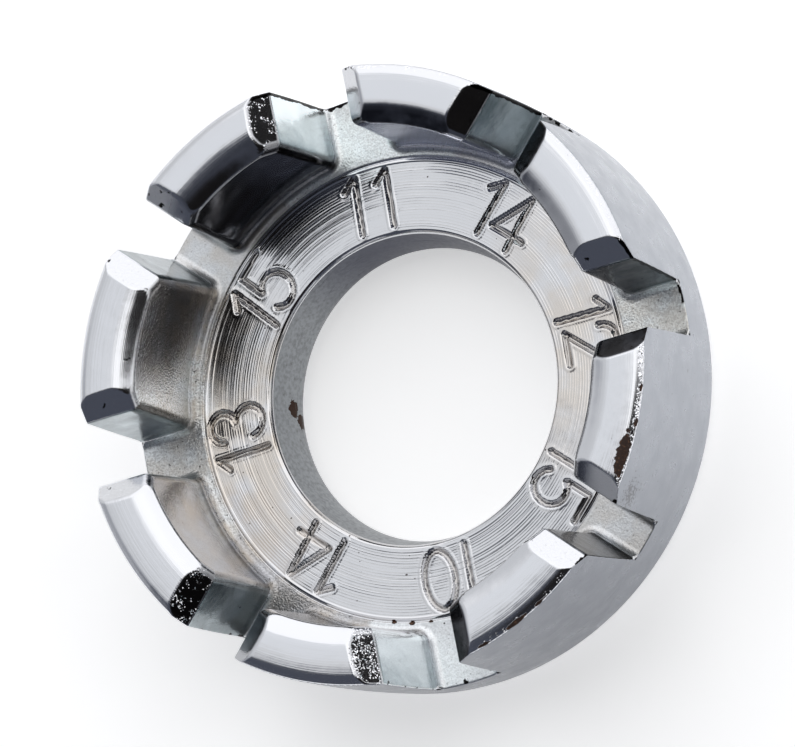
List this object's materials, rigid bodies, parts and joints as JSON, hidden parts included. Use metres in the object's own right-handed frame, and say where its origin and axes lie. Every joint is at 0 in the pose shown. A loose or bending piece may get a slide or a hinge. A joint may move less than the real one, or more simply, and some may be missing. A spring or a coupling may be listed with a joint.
{
  "type": "spoke wrench",
  "caption": "Round ring-shaped spoke wrench with a crown of open jaws in graded nipple widths around a turned face, and a large centre hole.",
  "frame": {"origin": "centre of the back, on the ring's axis", "axes": "+Z along the ring's axis, the way the jaws open; +X through the 12 gauge jaw, +Y through the 11 gauge jaw"},
  "size_m": [0.0516, 0.0516, 0.0174],
  "materials": {
    "chrome_plate": "bright chrome plate over a rough steel forging: mirror-bright on the crests and lugs, satin on the outer wall, finely turned on the face"
  },
  "bodies": {
    "root": {"wrench_ring": "chrome_plate"}
  },
  "joints": []
}
